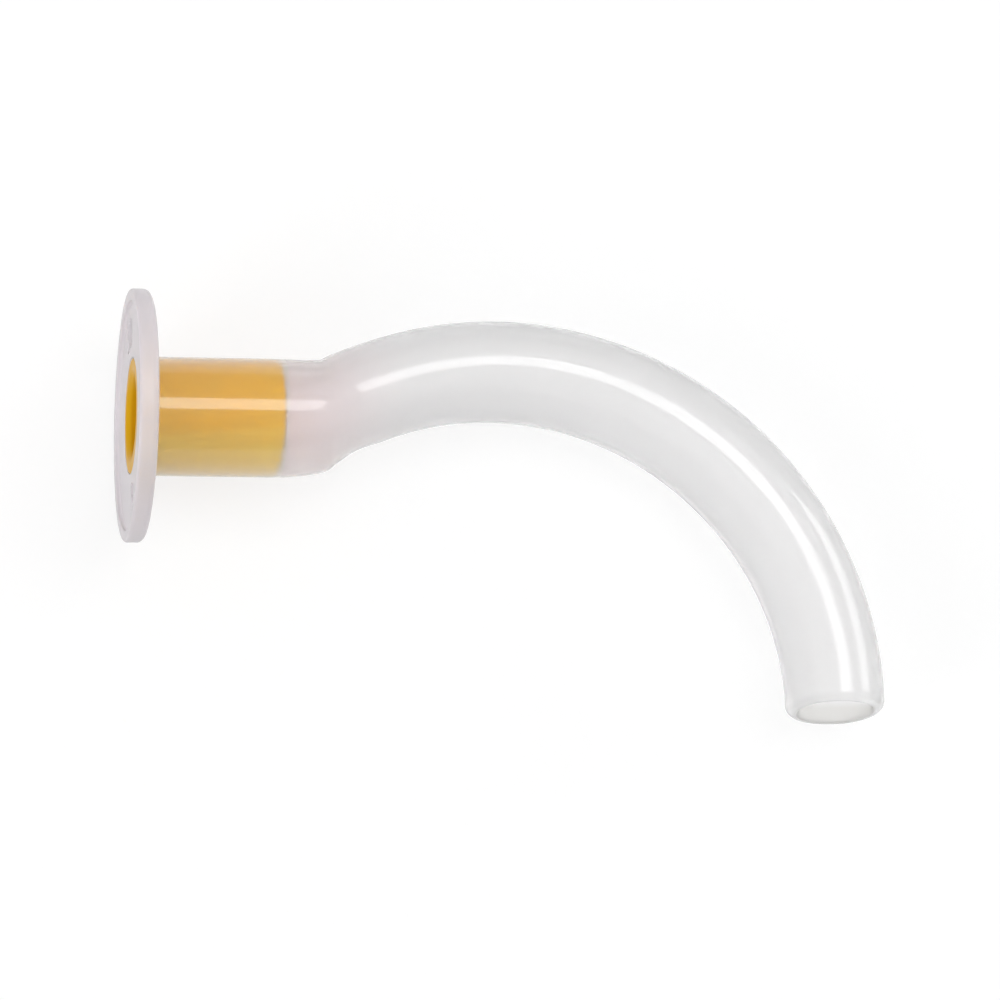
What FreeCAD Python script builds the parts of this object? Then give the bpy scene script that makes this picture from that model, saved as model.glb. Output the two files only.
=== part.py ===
"""Oropharyngeal airway of the 90 mm adult size, lying on its side as it comes to rest.

Two pieces are built in one design frame and then laid down together:
  airway_body  the translucent moulding: flange, bite section, shoulder, curved tube, tip
  bite_block   the stiff coloured sleeve inside the bite section

Design frame, before the two pieces are laid down: X runs along the bite section from the
flange's front face towards the throat, Y points to the outside of the curve, and Z goes
across the airway, from one side of the mouth to the other.
"""
import FreeCAD
import Part
import math
import os
import Sketcher

from FreeCAD import Placement, Rotation, Vector

# Driving dimensions, in millimetres and degrees, each with what it measures.
SIZES = [
    ("flange_height", 30.5, "flange, measured in the plane of the curve"),
    ("flange_overwidth", 7.0, "how much wider than high the flange is"),
    ("flange_thickness", 2.35, "flange, front face to lip side"),
    ("flange_margin", 1.5, "raised rim around the dished front face"),
    ("dish_depth", 0.55, "how deep the front face is dished"),
    ("front_chamfer", 0.4, "chamfer of the flange's front edge"),
    ("lip_chamfer", 0.8, "chamfer of the flange's lip-side edge"),
    ("neck_chamfer", 0.5, "slope where the bite section leaves the flange"),
    ("bite_height", 14.35, "bite section, outside, in the plane of the curve"),
    ("bite_length", 17.6, "front face to where the bite section starts to narrow"),
    ("throat_length", 22.6, "front face to the start of the shoulder"),
    ("throat_height", 13.95, "bite section where the shoulder starts, outside"),
    ("throat_rise", 0.15, "how far the bite section's middle has risen there"),
    ("tube_height", 12.4, "curved tube, outside"),
    ("oval_overwidth", 3.4, "how much wider than high every outside section is"),
    ("oval_fullness", 0.875, "radius of an oval's ends, as a share of half its height"),
    ("wall", 1.6, "wall of the curved tube"),
    ("bend_radius", 41.5, "curve's centreline"),
    ("bend_forward", 45.75, "front face to the centre of the curve"),
    ("bend_drop", 35.05, "centre of the curve below the bite section's axis"),
    ("tip_angle", 92.5, "where the tube ends, from the crest of the curve"),
    ("bend_start_angle", 17.0, "end of the shoulder, before the crest"),
    ("tip_round", 1.35, "rounding of the tip's outer edge"),
    ("mouth_chamfer", 0.3, "chamfer of the lumen's edge at the tip"),
    ("seat_wall", 1.15, "wall of the bite section around the bite block"),
    ("block_length", 17.2, "bite block, under its collar to its inner end"),
    ("block_wall", 1.1, "wall of the bite block"),
    ("collar_lip", 1.0, "how far the bite block's collar stands out around it"),
    ("collar_thickness", 1.0, "bite block's collar along the axis"),
    ("collar_flare", 0.6, "chamfer that opens the block's mouth"),
    ("block_lead", 0.25, "chamfer on the block's inner end"),
    ("seat_clearance", 0.05, "gap between the block and its seat, all round"),
    ("overrun", 1.0, "how far cutting shapes run past the faces they open"),
]

# Sections down the shoulder. Each has four shares of the way from the start of the shoulder to
# the start of the curve: how far forward it is, how far it has risen, leant over and thinned.
SHOULDER = [
    ("upper", (0.15, 0.07, 0.32, 0.25)),
    ("middle", (0.26, 0.25, 0.5, 0.61)),
    ("lower", (0.364, 0.414, 0.72, 0.92)),
    ("last", (0.68, 0.728, 0.935, 0.92)),
]

# Straight stretches that follow the curve inside the tube.
LUMEN_STEPS = 12


def fill_sheet(doc):
    """Put the driving dimensions in a spreadsheet, one alias for each."""
    sheet = doc.addObject("Spreadsheet::Sheet", "Sizes")
    for row, (name, value, note) in enumerate(SIZES, start=1):
        sheet.set(f"A{row}", name)
        sheet.set(f"B{row}", str(value))
        sheet.set(f"C{row}", note)
        sheet.setAlias(f"B{row}", name)
    row = len(SIZES)
    for part, shares in SHOULDER:
        for way, share in zip(("forward", "rise", "lean", "thinning"), shares):
            row += 1
            sheet.set(f"A{row}", f"{part}_{way}")
            sheet.set(f"B{row}", str(share))
            sheet.setAlias(f"B{row}", f"{part}_{way}")
    doc.recompute()
    return sheet


def origin_plane(body, role):
    """Return one of the body's own origin planes."""
    return next(f for f in body.Origin.OriginFeatures if f.Role == role)


def bind(target, path, expression):
    """Tie one property of an object to the spreadsheet."""
    target.setExpression(path, expression)


def oval(body, name, height, overwidth, offset_x="0", offset_y="0", turn="0", reach=None):
    """Sketch an oval section across the airway, as two end arcs and two flatter side arcs.

    The sketch's own x runs along the design frame's Y and its own y along Z. The sketch's
    origin lies offset_x along X and offset_y along Y, and turn, in degrees, tips the section's
    plane from the X axis towards the Y axis. The oval's centre lies reach along the sketch's
    own x, or on its origin. All are expressions over the spreadsheet.
    """
    sketch = body.newObject("Sketcher::SketchObject", name)
    sketch.AttachmentSupport = (origin_plane(body, "YZ_Plane"), "")
    sketch.MapMode = "FlatFace"
    sketch.AttachmentOffset = Placement(Vector(0, 0, 0), Rotation(Vector(0, 1, 0), 1))
    bind(sketch, "AttachmentOffset.Base.z", offset_x)
    bind(sketch, "AttachmentOffset.Base.x", offset_y)
    bind(sketch, "AttachmentOffset.Rotation.Angle", f"({turn}) * 1deg")

    high = f"(({height}) / 2)"
    wide = f"(({height} + {overwidth}) / 2)"
    end_radius = f"({high} * Sizes.oval_fullness)"
    end_centre = f"({wide} - {end_radius})"
    flat = f"({high} - {end_radius})"
    side_centre = f"(({end_centre} ^ 2 - {flat} ^ 2) / (2 * {flat}))"
    side_radius = f"({high} + {side_centre})"

    def number(expression):
        """Give an expression's value with the sizes as they stand."""
        return float(sketch.evalExpression(expression))

    middle = number(reach) if reach else 0.0
    joint = math.atan2(number(side_centre), number(end_centre))
    turns = [
        (0, number(end_centre), number(end_radius), math.pi / 2 - joint, math.pi / 2 + joint),
        (number(side_centre), 0, number(side_radius), math.pi / 2 + joint, 3 * math.pi / 2 - joint),
        (0, -number(end_centre), number(end_radius), 3 * math.pi / 2 - joint, 3 * math.pi / 2 + joint),
        (-number(side_centre), 0, number(side_radius), -math.pi / 2 + joint, math.pi / 2 - joint),
    ]
    arcs = []
    for across, along, radius, begin, finish in turns:
        circle = Part.Circle(Vector(middle + across, along, 0), Vector(0, 0, 1), radius)
        arcs.append(sketch.addGeometry(Part.ArcOfCircle(circle, begin, finish), False))
    for arc, following in zip(arcs, arcs[1:] + arcs[:1]):
        sketch.addConstraint(Sketcher.Constraint("Tangent", arc, 2, following, 1))
    sketch.addConstraint(Sketcher.Constraint("PointOnObject", arcs[1], 3, -1))
    sketch.addConstraint(Sketcher.Constraint("Equal", arcs[0], arcs[2]))
    sketch.addConstraint(Sketcher.Constraint("Equal", arcs[1], arcs[3]))
    rows = [
        ("end_radius", Sketcher.Constraint("Radius", arcs[0], number(end_radius)), end_radius),
        ("side_radius", Sketcher.Constraint("Radius", arcs[1], number(side_radius)), side_radius),
        ("end_spread", Sketcher.Constraint("DistanceY", arcs[2], 3, arcs[0], 3, 2 * number(end_centre)),
         f"2 * {end_centre}"),
    ]
    if reach:
        sketch.addConstraint(Sketcher.Constraint("Vertical", arcs[0], 3, arcs[2], 3))
        rows.append(("reach", Sketcher.Constraint("DistanceX", -1, 1, arcs[0], 3, middle), reach))
    else:
        sketch.addConstraint(Sketcher.Constraint("PointOnObject", arcs[0], 3, -2))
        sketch.addConstraint(Sketcher.Constraint("PointOnObject", arcs[2], 3, -2))
    for label, constraint, expression in rows:
        row = sketch.addConstraint(constraint)
        sketch.renameConstraint(row, label)
        bind(sketch, f"Constraints.{label}", expression)
    return sketch


def at_bend_centre(angle):
    """Give a sketch's place on the centre of the curve, turned to face along one angle."""
    return {"offset_x": "Sizes.bend_forward", "offset_y": "-Sizes.bend_drop", "turn": f"-({angle})",
            "reach": "Sizes.bend_radius"}


def on_bend(angle):
    """Give the place and the turn of a section that stands on the curve's centreline."""
    forward = f"Sizes.bend_forward + Sizes.bend_radius * sin(({angle}) * 1deg)"
    rise = f"Sizes.bend_radius * cos(({angle}) * 1deg) - Sizes.bend_drop"
    return {"offset_x": forward, "offset_y": rise, "turn": f"-({angle})"}


def on_shoulder(part, start, end):
    """Give the height, place and turn of a section that stands part of the way down the shoulder."""
    curve = on_bend("-Sizes.bend_start_angle")
    forward = f"Sizes.throat_length + ({curve['offset_x']} - Sizes.throat_length) * Sizes.{part}_forward"
    rise = f"Sizes.throat_rise + ({curve['offset_y']} - Sizes.throat_rise) * Sizes.{part}_rise"
    height = f"{start} + ({end} - ({start})) * Sizes.{part}_thinning"
    turn = f"Sizes.bend_start_angle * Sizes.{part}_lean"
    return {"height": height, "offset_x": forward, "offset_y": rise, "turn": turn}


def pad(body, sketch, name, length):
    """Pad a section along the bite section's axis."""
    feature = body.newObject("PartDesign::Pad", name)
    feature.Profile = sketch
    bind(feature, "Length", length)
    return feature


def pocket(body, sketch, name, depth):
    """Cut a section's oval inwards from the front face."""
    feature = body.newObject("PartDesign::Pocket", name)
    feature.Profile = sketch
    feature.Reversed = True
    bind(feature, "Length", depth)
    return feature


def loft(body, kind, name, sections):
    """Run a loft, straight from one section to the next, through a row of sections."""
    feature = body.newObject(f"PartDesign::{kind}Loft", name)
    feature.Profile = sections[0]
    feature.Sections = sections[1:]
    feature.Ruled = True
    return feature


def bend(body, name, section, sweep):
    """Turn a section about the centre of the curve, from the shoulder towards the tip."""
    feature = body.newObject("PartDesign::Revolution", name)
    feature.Profile = section
    feature.ReferenceAxis = (section, ["V_Axis"])
    feature.Reversed = True
    bind(feature, "Angle", f"({sweep}) * 1deg")
    return feature


def face_edges(shape, point, normal, holes):
    """Name the edges of the flat face that lies in a plane: those of its holes, or of its rim."""
    names = []
    for face in shape.Faces:
        corners = [vertex.Point for vertex in face.Vertexes]
        level = all(abs((corner - point).dot(normal)) < 1e-3 for corner in corners)
        if face.Surface.TypeId != "Part::GeomPlane" or not level:
            continue
        for wire in face.Wires:
            if wire.isSame(face.OuterWire) == holes:
                continue
            for edge in wire.Edges:
                number = next(i for i, other in enumerate(shape.Edges, start=1) if other.isSame(edge))
                names.append(f"Edge{number}")
    return names


def fillet(body, name, base, edges, radius):
    """Round the named edges of the feature before it."""
    feature = body.newObject("PartDesign::Fillet", name)
    feature.Base = (base, edges)
    bind(feature, "Radius", radius)
    return feature


def chamfer(body, name, base, edges, size):
    """Chamfer the named edges of the feature before it."""
    feature = body.newObject("PartDesign::Chamfer", name)
    feature.Base = (base, edges)
    bind(feature, "Size", size)
    return feature


def build_airway_body(doc, sizes):
    """Build the moulding: flange, bite section, shoulder, curved tube, lumen and tip."""
    body = doc.addObject("PartDesign::Body", "airway_body")
    body.Label = "airway_body"
    wide = "Sizes.oval_overwidth"

    flange = pad(body, oval(body, "FlangeOutline", "Sizes.flange_height", "Sizes.flange_overwidth"),
                 "Flange", "Sizes.flange_thickness")
    doc.recompute()
    front = face_edges(flange.Shape, Vector(0, 0, 0), Vector(1, 0, 0), holes=False)
    front_edge = chamfer(body, "FlangeFrontEdge", flange, front, "Sizes.front_chamfer")
    doc.recompute()
    lip_centre = Vector(sizes.flange_thickness, 0, 0)
    lip = face_edges(front_edge.Shape, lip_centre, Vector(1, 0, 0), holes=False)
    chamfer(body, "FlangeLipEdge", front_edge, lip, "Sizes.lip_chamfer")

    dish = oval(body, "DishOutline", "Sizes.flange_height - 2 * Sizes.flange_margin",
                "Sizes.flange_overwidth")
    pocket(body, dish, "Dish", "Sizes.dish_depth")

    bite_start = oval(body, "BiteOutline", "Sizes.bite_height", wide, offset_x="Sizes.dish_depth")
    bite = pad(body, bite_start, "BiteSection", "Sizes.bite_length - Sizes.dish_depth")
    doc.recompute()
    neck = face_edges(bite.Shape, lip_centre, Vector(1, 0, 0), holes=True)
    chamfer(body, "Neck", bite, neck, "Sizes.neck_chamfer")

    stations = [
        oval(body, "ThroatStart", "Sizes.bite_height", wide, offset_x="Sizes.bite_length"),
        oval(body, "ShoulderStart", "Sizes.throat_height", wide, offset_x="Sizes.throat_length",
             offset_y="Sizes.throat_rise"),
    ]
    for part, _ in SHOULDER:
        place = on_shoulder(part, "Sizes.throat_height", "Sizes.tube_height")
        stations.append(oval(body, f"Shoulder_{part}", overwidth=wide, **place))
    curve_start = on_bend("-Sizes.bend_start_angle")
    stations.append(oval(body, "ShoulderEnd", "Sizes.tube_height", wide, **curve_start))
    loft(body, "Additive", "Shoulder", stations)
    tube_section = oval(body, "TubeOutline", "Sizes.tube_height", wide,
                        **at_bend_centre("-Sizes.bend_start_angle"))
    tube = bend(body, "CurvedTube", tube_section, "Sizes.bend_start_angle + Sizes.tip_angle")
    doc.recompute()

    tip_centre, tip_direction = bend_point(sizes, sizes.tip_angle)
    tip = face_edges(tube.Shape, tip_centre, tip_direction, holes=False)
    fillet(body, "Tip", tube, tip, "Sizes.tip_round")

    seat = "Sizes.bite_height - 2 * Sizes.seat_wall"
    bore = f"{seat} - 2 * (Sizes.seat_clearance + Sizes.block_wall)"
    seat_end = "Sizes.dish_depth + Sizes.collar_thickness + Sizes.block_length + Sizes.seat_clearance"
    counterbore = oval(body, "CollarSeatOutline", f"{seat} + 2 * Sizes.collar_lip", wide)
    pocket(body, counterbore, "CollarSeat", "Sizes.dish_depth + Sizes.collar_thickness")
    seat_outline = oval(body, "BlockSeatOutline", seat, wide)
    pocket(body, seat_outline, "BlockSeat", seat_end)

    narrow = "Sizes.tube_height - 2 * Sizes.wall"
    hollows = [
        oval(body, "LumenLead", bore, wide, offset_x=f"{seat_end} - Sizes.overrun"),
        oval(body, "LumenStart", bore, wide, offset_x="Sizes.throat_length",
             offset_y="Sizes.throat_rise"),
    ]
    for part in ("upper", "lower"):
        place = on_shoulder(part, f"({bore})", f"({narrow})")
        hollows.append(oval(body, f"Lumen_{part}", overwidth=wide, **place))
    past_tip = "(Sizes.tip_angle + Sizes.overrun / Sizes.bend_radius * 180 / pi)"
    for step in range(LUMEN_STEPS + 1):
        angle = f"(Sizes.bend_start_angle + {past_tip}) * {step} / {LUMEN_STEPS} - Sizes.bend_start_angle"
        hollows.append(oval(body, f"LumenBend{step:02d}", narrow, wide, **on_bend(angle)))
    lumen_loft = loft(body, "Subtractive", "Lumen", hollows)
    doc.recompute()

    mouth = face_edges(lumen_loft.Shape, tip_centre, tip_direction, holes=True)
    chamfer(body, "TipMouth", lumen_loft, mouth, "Sizes.mouth_chamfer")
    doc.recompute()
    return body


def build_bite_block(doc, sizes):
    """Build the coloured sleeve with its collar and flared mouth."""
    body = doc.addObject("PartDesign::Body", "bite_block")
    body.Label = "bite_block"
    wide = "Sizes.oval_overwidth"
    outside = "Sizes.bite_height - 2 * (Sizes.seat_wall + Sizes.seat_clearance)"

    collar_outline = oval(body, "CollarOutline", f"{outside} + 2 * Sizes.collar_lip", wide,
                          offset_x="Sizes.dish_depth")
    pad(body, collar_outline, "Collar", "Sizes.collar_thickness")
    sleeve_outline = oval(body, "SleeveOutline", outside, wide, offset_x="Sizes.dish_depth")
    sleeve = pad(body, sleeve_outline, "Sleeve", "Sizes.collar_thickness + Sizes.block_length")
    doc.recompute()
    inner_end = Vector(sizes.dish_depth + sizes.collar_thickness + sizes.block_length, 0, 0)
    rim = face_edges(sleeve.Shape, inner_end, Vector(1, 0, 0), holes=False)
    chamfer(body, "InnerLead", sleeve, rim, "Sizes.block_lead")
    bore_outline = oval(body, "BoreOutline", f"{outside} - 2 * Sizes.block_wall", wide)
    bore = pocket(body, bore_outline, "Bore",
                  "Sizes.dish_depth + Sizes.collar_thickness + Sizes.block_length + Sizes.overrun")
    doc.recompute()
    face = Vector(sizes.dish_depth, 0, 0)
    mouth = face_edges(bore.Shape, face, Vector(1, 0, 0), holes=True)
    chamfer(body, "Flare", bore, mouth, "Sizes.collar_flare")
    doc.recompute()
    return body


def bend_point(sizes, angle):
    """Give a point on the curve's centreline and the direction there, in the design frame."""
    turn = math.radians(angle)
    point = Vector(sizes.bend_forward + sizes.bend_radius * math.sin(turn),
                   sizes.bend_radius * math.cos(turn) - sizes.bend_drop, 0)
    return point, Vector(math.cos(turn), -math.sin(turn), 0)


def resting_direction(points, centre):
    """Find the direction, in the design frame, that points up when the airway lies on its side.

    A body that rests on a table has its centre of mass as low as its outline allows. The
    search starts from lying exactly on the side, and narrows a grid of tilts around the best.
    """
    def height(tilt):
        """Give the height of the centre of mass above the lowest point, for one tilt."""
        lowest = min(tilt[0] * p.x + tilt[1] * p.y + p.z for p in points)
        above = tilt[0] * centre.x + tilt[1] * centre.y + centre.z - lowest
        return above / math.sqrt(tilt[0] ** 2 + tilt[1] ** 2 + 1)

    best = (0.0, 0.0)
    span = 0.4
    passes = 11
    for _ in range(passes):
        tries = [(best[0] + along * span / 2, best[1] + across * span / 2)
                 for along in range(-2, 3) for across in range(-2, 3)]
        best = min(tries, key=height)
        span *= 0.5
    return Vector(best[0], best[1], 1).normalize()


def lay_down(doc, bodies):
    """Place both pieces as one, resting on the table, with the bite section along +X."""
    mesh_step = 0.2
    solids = [body.Shape.Solids[0] for body in bodies]
    points = [p for solid in solids for p in solid.tessellate(mesh_step)[0]]
    volume = sum(solid.Volume for solid in solids)
    centre = Vector(0, 0, 0)
    for solid in solids:
        centre += solid.CenterOfMass * (solid.Volume / volume)
    underside = [p for p in points if p.z < centre.z]
    up = resting_direction(underside, centre)
    forward = (Vector(1, 0, 0) - up * up.x).normalize()
    sideways = up.cross(forward)
    turn = Rotation(forward, sideways, up, "ZXY").inverted()
    turned = [turn.multVec(p) for p in points]
    middle_x = (min(p.x for p in turned) + max(p.x for p in turned)) / 2
    middle_y = (min(p.y for p in turned) + max(p.y for p in turned)) / 2
    lowest = min(p.z for p in turned)
    for body in bodies:
        body.Placement = Placement(Vector(-middle_x, -middle_y, -lowest), turn)
    doc.recompute()


def check(doc, bodies):
    """Stop with a plain message if any object failed or a piece is not one valid solid."""
    for item in doc.Objects:
        bad = [state for state in item.State if state in ("Invalid", "Error")]
        if bad:
            raise RuntimeError(f"{item.Name} is {bad}")
    for body in bodies:
        shape = body.Shape
        if shape.isNull() or not shape.isValid() or len(shape.Solids) != 1:
            raise RuntimeError(f"{body.Label} is not one valid solid")


def main():
    """Build both pieces, lay them down, check them and write their files."""
    doc = FreeCAD.newDocument("Airway")
    sizes = fill_sheet(doc)
    bodies = [build_airway_body(doc, sizes), build_bite_block(doc, sizes)]
    check(doc, bodies)
    lay_down(doc, bodies)
    check(doc, bodies)
    os.makedirs("parts", exist_ok=True)
    for body in bodies:
        body.Shape.exportStep(os.path.join("parts", f"{body.Label}.step"))
        print(f"{body.Label}: {body.Shape.Volume:.1f} cubic mm")
    print("laid down at", bodies[0].Placement.Base, "turned by", bodies[0].Placement.Rotation.Q)


main()
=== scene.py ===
"""Dressed visual model of an oropharyngeal airway lying on its side.

The airway is a translucent moulding with a dished flange, a straight bite section that holds a
stiff coloured sleeve, an S-shaped shoulder and a curved oval tube with a rounded open tip.

Lengths of the airway are in millimetres in its own upright frame: X runs along the bite
section towards the throat, Y to the outside of the curve, Z from one side of the mouth to the
other. RestPlace carries them into the row frame, in metres, where the airway lies on a table.
"""

import logging
import math
from dataclasses import dataclass, replace
from enum import Enum
from functools import partial

import bmesh
import bpy
from mathutils import Matrix, Quaternion, Vector

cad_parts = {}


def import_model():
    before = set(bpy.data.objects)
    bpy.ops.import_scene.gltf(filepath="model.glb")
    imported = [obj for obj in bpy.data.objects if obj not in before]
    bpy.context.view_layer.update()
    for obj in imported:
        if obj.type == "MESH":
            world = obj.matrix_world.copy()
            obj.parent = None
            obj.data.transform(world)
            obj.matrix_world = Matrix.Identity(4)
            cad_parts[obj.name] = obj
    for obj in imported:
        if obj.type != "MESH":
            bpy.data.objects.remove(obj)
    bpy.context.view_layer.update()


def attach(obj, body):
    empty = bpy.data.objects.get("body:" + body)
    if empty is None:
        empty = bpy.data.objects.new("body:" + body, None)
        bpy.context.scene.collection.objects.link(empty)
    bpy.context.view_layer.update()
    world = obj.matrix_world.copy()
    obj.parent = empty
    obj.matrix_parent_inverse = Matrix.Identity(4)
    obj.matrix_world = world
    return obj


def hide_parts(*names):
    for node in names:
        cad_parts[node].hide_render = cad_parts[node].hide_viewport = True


LOG = logging.getLogger("airway")
METRES = 0.001
OVAL_EXTRA = 1.7
Colour = tuple[float, float, float]
Material = bpy.types.Material
Socket = bpy.types.NodeSocket


class Slot(Enum):
    """The record's material slots."""

    MOULDING = "translucent_moulding"
    SLEEVE = "coloured_sleeve"


class Bend(Enum):
    """Which way a rounded edge turns a path of sections."""

    OUTWARDS = 1
    INWARDS = -1


class Stretch(Enum):
    """Stretches of a moulding that differ in finish; each value stands apart from the one before."""

    LUMEN = -3.0
    TUBE = 0.0
    BITE = 1.0
    FLANGE = 3.0


@dataclass(frozen=True)
class RestPlace:
    """Where the airway's upright frame lies in the row frame once the airway rests on its side."""

    origin: tuple[float, float, float] = (-45.323667, 11.038767, 18.645546)
    turn: tuple[float, float, float, float] = (0.9915576, -0.10240902, 0.07911486, 0.00817106)

    def point(self, place: Vector) -> Vector:
        """Carry a point from millimetres in the upright frame to metres in the row frame."""
        return (self.direction(place) + Vector(self.origin)) * METRES

    def direction(self, way: Vector) -> Vector:
        """Turn a direction from the upright frame into the row frame."""
        return Quaternion(self.turn) @ way


@dataclass(frozen=True)
class Station:
    """One oval section across the airway.

    Attributes:
        centre: Middle of the section, in millimetres in the upright frame.
        lean: How far the section is tipped forward along the curve, in degrees.
        half_height: Half the section in the plane of the curve.
        half_width: Half the section across the airway.
        stretch: The stretch that it belongs to.
    """

    centre: Vector
    lean: float
    half_height: float
    half_width: float
    stretch: Stretch = Stretch.TUBE

    def numbers(self) -> list[float]:
        """List what changes along a smooth row of stations."""
        return [self.centre.x, self.centre.y, self.lean, self.half_height, self.half_width]


def straight(along: float, half: float, extra: float = OVAL_EXTRA) -> Station:
    """Stand a section of a given half height on the bite section's axis, and wider by the extra."""
    return Station(Vector((along, 0.0, 0.0)), 0.0, half, half + extra)


def arc_steps(radius: float, count: int, bend: Bend) -> list[tuple[float, float]]:
    """Give a quarter circle's steps, as how far it has gone forward and sideways.

    Args:
        radius: Radius of the rounding.
        count: Number of steps.
        bend: OUTWARDS leaves the forward direction last, INWARDS leaves it first.

    Returns:
        Pairs that start at (0, 0) and end at (radius, radius).
    """
    steps = []
    for step in range(count + 1):
        turn = math.pi / 2 * step / count
        early = radius * math.sin(turn)
        late = radius * (1 - math.cos(turn))
        steps.append((late, early) if bend is Bend.OUTWARDS else (early, late))
    return steps


def add_object(name: str, data: bpy.types.ID) -> bpy.types.Object:
    """Make an object and put it in the scene.

    Args:
        name: Name of the object.
        data: Mesh, curve, lamp or camera that it shows.

    Returns:
        The object.
    """
    piece = bpy.data.objects.new(name, data)
    bpy.context.scene.collection.objects.link(piece)
    return piece


def stand(piece: bpy.types.Object, where: Vector, axes: list[Vector]) -> None:
    """Put a lamp or camera in its place, with its own X, Y and Z along three directions."""
    piece.matrix_world = Matrix.Translation(where) @ Matrix(axes).transposed().to_4x4()


def bake(carrier: bpy.types.Object, name: str) -> bpy.types.Mesh:
    """Keep an object's final shape as a plain mesh, and drop the object.

    Args:
        carrier: Object whose modifier or letters make the shape.
        name: Name of the mesh.

    Returns:
        The mesh.
    """
    bpy.context.view_layer.update()
    graph = bpy.context.evaluated_depsgraph_get()
    mesh = bpy.data.meshes.new_from_object(carrier.evaluated_get(graph), depsgraph=graph)
    bpy.data.objects.remove(carrier)
    mesh.name = name
    return mesh


class Wiring:
    """Short ways to add nodes to a tree and to feed their inputs."""

    def __init__(self, tree: bpy.types.NodeTree) -> None:
        """Keep a tree, and give the three commonest sums short names.

        Args:
            tree: Tree that the nodes go into.
        """
        self.tree = tree
        self.plus = partial(self.calc, "ADD")
        self.minus = partial(self.calc, "SUBTRACT")
        self.times = partial(self.calc, "MULTIPLY")

    def feed(self, node: bpy.types.Node, feeds: dict[str | int, object]) -> None:
        """Link each of a node's inputs to a socket, or set it to a plain value.

        Args:
            node: Node to feed.
            feeds: Sockets or plain values, by the input's name or number.
        """
        for name, value in feeds.items():
            if isinstance(value, Socket):
                self.tree.links.new(value, node.inputs[name])
            else:
                node.inputs[name].default_value = value

    def node(
        self, kind: str, feeds: dict[str | int, object] | None = None, **settings: object
    ) -> bpy.types.Node:
        """Add a node.

        Args:
            kind: The node's type.
            feeds: Sockets or plain values for its inputs, by name or number.
            **settings: Its plain properties, which are set before its inputs.

        Returns:
            The node.
        """
        node = self.tree.nodes.new(kind)
        for name, value in settings.items():
            setattr(node, name, value)
        self.feed(node, feeds or {})
        return node

    def calc(self, operation: str, *values: Socket | float) -> Socket:
        """Add a Math node over sockets and plain numbers, and give its result."""
        return self.node("ShaderNodeMath", dict(enumerate(values)), operation=operation).outputs[0]

    def fade(self, value: Socket, start: float, end: float, most: Socket | float = 1.0) -> Socket:
        """Rise smoothly from 0, where a value is at its start, to the most, where it is at its end."""
        feeds = {"Value": value, "From Min": start, "From Max": end, "To Max": most}
        return self.node("ShaderNodeMapRange", feeds, interpolation_type="SMOOTHSTEP").outputs["Result"]

    def blend(self, share: Socket, first: Socket | Colour, second: Colour) -> Socket:
        """Blend two colours.

        Args:
            share: Socket with the second colour's share.
            first: First colour, or a socket that gives one.
            second: Second colour.

        Returns:
            Socket with the blend.
        """
        start = first if isinstance(first, Socket) else (*first, 1.0)
        feeds = {"Factor": share, "A": start, "B": (*second, 1.0)}
        return self.node("ShaderNodeMix", feeds, data_type="RGBA").outputs["Result"]

    def feed_shader(self, feeds: dict[str, object]) -> None:
        """Feed inputs of a material's own Principled BSDF."""
        self.feed(self.tree.nodes["Principled BSDF"], feeds)


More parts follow.
